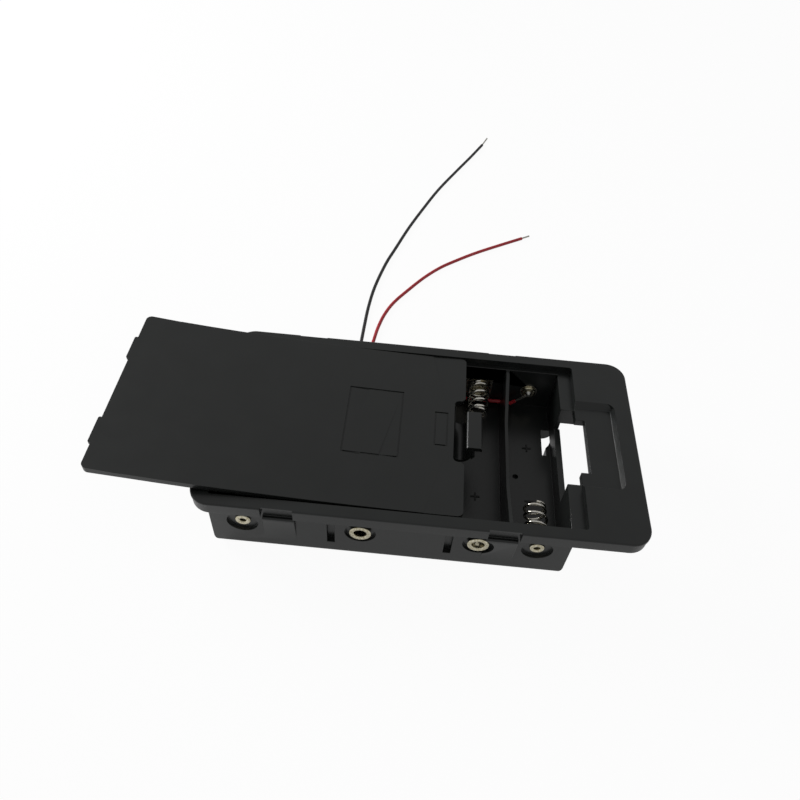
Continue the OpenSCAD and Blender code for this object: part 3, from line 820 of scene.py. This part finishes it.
BLACK_ROUTE: tuple[Point, ...] = (
    (-15.5, 34, 7.2), (-15.8, 38.5, 6.2), (-16.3, 43.5, 3.4), (-16.5, 48.5, 1.2), (-16.4, 53, 0.6),
    (-16.2, 61, 0.6), (-15.8, 71, 0.6), (-14.6, 82.5, 0.6), (-11.8, 96.5, 0.6), (-8.9, 106.5, 0.6),
    (-4.4, 121.5, 0.6), (0.7, 136, 0.6), (6.6, 151.5, 0.6), (14.2, 168, 0.6), (20.4, 181, 0.6),
    (25.6, 192.5, 0.6),
)
RED_ROUTE: tuple[Point, ...] = (
    (-15.4, 34, 5.95), (-14.9, 38.5, 4.8), (-14.1, 43.5, 2.4), (-13.2, 48.5, 0.9), (-12.3, 53, 0.6),
    (-11.4, 60, 0.6), (-9.7, 67.5, 0.6), (-6.9, 74.5, 0.6), (-2.3, 82, 0.6), (3.5, 90.5, 0.6),
    (9.5, 97.5, 0.6), (15.8, 103, 0.6), (22.8, 108.5, 0.6), (30.5, 113.8, 0.6), (41.9, 121.3, 0.6),
)
LEADS = (
    FreeLead("black", BLACK_PVC, (-15.5, 29.2, 7.2), BLACK_ROUTE, (28, 199.4, 0.4)),
    FreeLead("red", RED_PVC, (-15.5, 29.2, 5.95), RED_ROUTE, (45.1, 123.7, 0.4)),
)


# --- Studio ---


@dataclass
class Studio:
    """A pale floor, soft surroundings, one lamp behind the holder's left end, and the camera."""

    eye: Point = (0.6, -126.7, 176.9)
    turn: Point = (41.07, -3.3, 4.36)  # degrees about X, Y and Z
    lens: float = 32.48
    key_place: Point = (-480, 230, 230)
    key_size: float = 200
    key_power: float = 2.4  # watts
    fill: float = 0.4  # strength of the surroundings as a light
    seen_floor: float = 0.95  # how much of the floor's white the camera is given, over its shaded paper
    glossy_floor: float = 0.33  # how white the floor is to the gloss of the black plastic

    def build(self) -> None:
        """Sets the stage."""
        self.camera()
        self.floor()
        self.world()
        self.lamp("key", self.key_place, self.key_size, self.key_power)
        bpy.context.scene.view_settings.view_transform = "Standard"

    def camera(self) -> None:
        """Puts the camera at the viewing angle."""
        data = bpy.data.cameras.new("camera")
        data.lens = self.lens
        data.sensor_width = 36
        data.clip_start = 0.005
        camera = bpy.data.objects.new("camera", data)
        camera.location = at(self.eye)
        camera.rotation_euler = [math.radians(a) for a in self.turn]
        bpy.context.scene.collection.objects.link(camera)
        bpy.context.scene.camera = camera

    def floor(self) -> None:
        """Lays a white floor that keeps a faint shadow."""
        shape = bmesh.new()
        bmesh.ops.create_grid(shape, x_segments=1, y_segments=1, size=6)
        piece = link_mesh("floor", shape, False)
        material = bpy.data.materials.new("white_floor")
        material.use_nodes = True
        tree = material.node_tree
        tree.nodes.clear()
        paper = add_node(tree, "ShaderNodeBsdfDiffuse", {"Color": colour("#f2f2f2")})
        glow = add_node(tree, "ShaderNodeEmission", {"Color": (1, 1, 1, 1), "Strength": 1.0})
        path = add_node(tree, "ShaderNodeLightPath")
        glossy = add_node(
            tree, "ShaderNodeMath", {1: self.glossy_floor}, {0: path.outputs["Is Glossy Ray"]},
            operation="MULTIPLY",
        )
        share = add_node(
            tree, "ShaderNodeMath", {1: self.seen_floor},
            {0: path.outputs["Is Camera Ray"], 2: glossy.outputs[0]},
            operation="MULTIPLY_ADD",
        )
        mix = add_node(
            tree, "ShaderNodeMixShader",
            links={0: share.outputs[0], 1: paper.outputs[0], 2: glow.outputs[0]},
        )
        add_node(tree, "ShaderNodeOutputMaterial", links={"Surface": mix.outputs[0]})
        piece.data.materials.append(material)
        piece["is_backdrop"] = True

    def world(self) -> None:
        """Makes the surroundings white to the camera and dimmer as a light."""
        world = bpy.data.worlds.new("studio")
        world.use_nodes = True
        tree = world.node_tree
        tree.nodes.clear()
        path = add_node(tree, "ShaderNodeLightPath")
        strength = add_node(
            tree, "ShaderNodeMapRange", {"To Min": self.fill, "To Max": 1.0},
            {"Value": path.outputs["Is Camera Ray"]},
        )
        sky = add_node(
            tree, "ShaderNodeBackground", {"Color": (1, 1, 1, 1)}, {"Strength": strength.outputs["Result"]}
        )
        add_node(tree, "ShaderNodeOutputWorld", links={"Surface": sky.outputs[0]})
        bpy.context.scene.world = world

    def lamp(self, name: str, place: Point, size: float, power: float) -> None:
        """Hangs a soft square lamp that faces the holder.

        Args:
            name: the lamp's name.
            place: where it hangs, in millimetres.
            size: its side, in millimetres.
            power: its power in watts.
        """
        data = bpy.data.lights.new(name, "AREA")
        data.size = mm(size)
        data.energy = power
        lamp = bpy.data.objects.new(name, data)
        lamp.location = at(place)
        lamp.rotation_euler = (Vector((0.01, 0, 0.01)) - lamp.location).to_track_quat("-Z", "Y").to_euler()
        bpy.context.scene.collection.objects.link(lamp)


def box_numbers() -> list[list[float]]:
    """Returns the shown object's box as plain lists."""
    low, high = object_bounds()
    return [list(low), list(high)]


def main() -> list[list[float]]:
    """Builds the studio, the leads and every piece.

    Returns:
        The CAD model's box, as it is before anything is added.
    """
    logging.basicConfig(level=logging.INFO, format="%(message)s")
    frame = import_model()
    cad = box_numbers()
    Studio().build()
    for lead in LEADS:
        lead.build()
    for bay in range(1, 7):
        CoilSpring(bay, Side.NEAR if bay % 2 == 0 else Side.FAR).build()
    for piece in (*EYELETS, *JOINTS, *INNER_WIRES):
        piece.build()
    for bay in range(1, 7):
        BayMark(bay, Side.FAR if bay % 2 == 0 else Side.NEAR).build()
    MouldedPart("housing", "housing_moulding", BLACK_ABS).build()
    MouldedPart("lid", "lid_moulding", LID_ABS).build()
    for name, node in frame["nodes"].items():
        if node.hide_render:
            continue
        node.data.materials.clear()
        node.data.materials.append(STRIP_NICKEL.material())
        LOG.info("%s: %s", name, STRIP_NICKEL.name)
    return cad


if __name__ == "__main__":
    cad_box = main()
